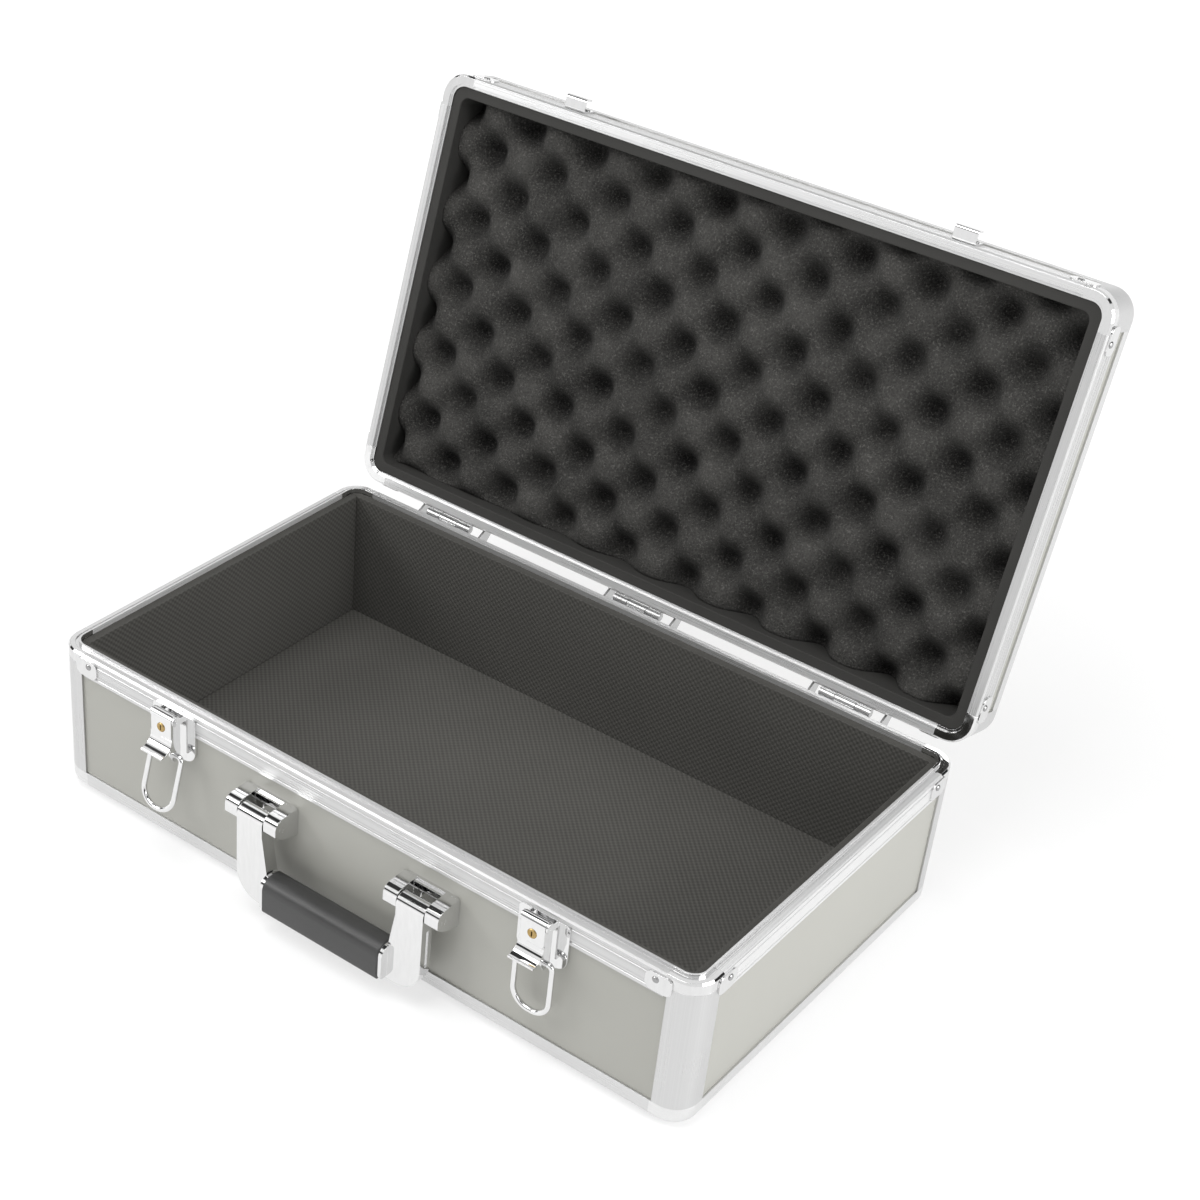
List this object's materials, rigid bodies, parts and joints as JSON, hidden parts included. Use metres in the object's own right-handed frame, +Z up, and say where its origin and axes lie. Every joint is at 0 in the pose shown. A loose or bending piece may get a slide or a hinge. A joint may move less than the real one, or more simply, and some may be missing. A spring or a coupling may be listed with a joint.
{
  "type": "pedalboard flight case",
  "caption": "Shallow hard case for effect pedals with a hinged lid, two draw latches, a folding handle, embossed lining and egg-crate foam in the lid.",
  "frame": {"origin": "centre of the bottom board's underside", "axes": "+X to the right seen from the front, -Y towards the handle and latches, +Z up"},
  "size_m": [0.5036, 0.4392, 0.405],
  "materials": {
    "panel_laminate": "satin grey laminate",
    "satin_aluminium": "satin anodised",
    "hardware_chrome": "bright plated",
    "hinge_steel": "bright zinc",
    "plug_brass": "turned",
    "embossed_lining": "fine diagonal emboss",
    "lid_lining_foam": "smooth foam sheet",
    "egg_crate_foam": "porous foam",
    "soft_grip": "matte",
    "foot_rubber": "matte"
  },
  "bodies": {
    "base": {"front_board": "panel_laminate", "back_board": "panel_laminate", "left_board": "panel_laminate", "right_board": "panel_laminate", "bottom_board": "panel_laminate", "base_rim_front": "satin_aluminium", "base_rim_back": "satin_aluminium", "base_rim_left": "satin_aluminium", "base_rim_right": "satin_aluminium", "bottom_edge_front": "satin_aluminium", "bottom_edge_back": "satin_aluminium", "bottom_edge_left": "satin_aluminium", "bottom_edge_right": "satin_aluminium", "base_rim_corners": "hardware_chrome", "bottom_corners": "satin_aluminium", "corner_posts": "satin_aluminium", "floor_lining": "embossed_lining", "long_wall_lining": "embossed_lining", "short_wall_lining": "embossed_lining", "latch_plate_left": "hardware_chrome", "latch_plate_right": "hardware_chrome", "latch_pins": "hardware_chrome", "handle_bracket_left": "hardware_chrome", "handle_bracket_right": "hardware_chrome", "handle_pins": "hardware_chrome", "bottom_feet": "foot_rubber", "back_feet": "foot_rubber", "base_rivets": "hardware_chrome", "hinge_base_leaves": "hinge_steel", "hinge_pins": "hinge_steel"},
    "lid": {"lid_front_board": "panel_laminate", "lid_back_board": "panel_laminate", "lid_left_board": "panel_laminate", "lid_right_board": "panel_laminate", "top_board": "panel_laminate", "lid_rim_front": "satin_aluminium", "lid_rim_back": "satin_aluminium", "lid_rim_left": "satin_aluminium", "lid_rim_right": "satin_aluminium", "top_edge_front": "satin_aluminium", "top_edge_back": "satin_aluminium", "top_edge_left": "satin_aluminium", "top_edge_right": "satin_aluminium", "lid_rim_corners": "hardware_chrome", "lid_corners": "satin_aluminium", "lid_lining": "lid_lining_foam", "lid_foam": "egg_crate_foam", "strikes": "hardware_chrome", "hinge_lid_leaves": "hinge_steel", "lid_rivets": "hardware_chrome"},
    "lever_left": {"latch_lever_left": "hardware_chrome"},
    "lever_right": {"latch_lever_right": "hardware_chrome"},
    "plug_left": {"key_plug_left": "plug_brass"},
    "plug_right": {"key_plug_right": "plug_brass"},
    "bail_left": {"bail_left": "hardware_chrome"},
    "bail_right": {"bail_right": "hardware_chrome"},
    "handle": {"handle_frame": "hardware_chrome", "handle_grip": "soft_grip"}
  },
  "joints": [
    {"name": "lid_hinge", "type": "hinge", "parent": "base", "child": "lid", "pos_m": [0, 0.1504, 0.1066], "axis": [1, 0, 0], "range_deg": [0, 105.4]},
    {"name": "latch_lever_left", "type": "hinge", "parent": "base", "child": "lever_left", "pos_m": [-0.145, -0.156, 0.1034], "axis": [1, 0, 0], "range_deg": [-100, 0]},
    {"name": "bail_swing_left", "type": "hinge", "parent": "lever_left", "child": "bail_left", "pos_m": [-0.145, -0.1545, 0.0756], "axis": [-1, 0, 0], "range_deg": [-16, 167]},
    {"name": "key_turn_left", "type": "hinge", "parent": "lever_left", "child": "plug_left", "pos_m": [-0.145, -0.1596, 0.0966], "axis": [0, 1, 0], "range_deg": [0, 90]},
    {"name": "latch_lever_right", "type": "hinge", "parent": "base", "child": "lever_right", "pos_m": [0.145, -0.156, 0.1034], "axis": [1, 0, 0], "range_deg": [-100, 0]},
    {"name": "bail_swing_right", "type": "hinge", "parent": "lever_right", "child": "bail_right", "pos_m": [0.145, -0.1545, 0.0756], "axis": [-1, 0, 0], "range_deg": [0, 183]},
    {"name": "key_turn_right", "type": "hinge", "parent": "lever_right", "child": "plug_right", "pos_m": [0.145, -0.1596, 0.0966], "axis": [0, 1, 0], "range_deg": [0, 90]},
    {"name": "handle_swing", "type": "hinge", "parent": "base", "child": "handle", "pos_m": [0, -0.161, 0.0706], "axis": [-1, 0, 0], "range_deg": [0, 100]}
  ]
}
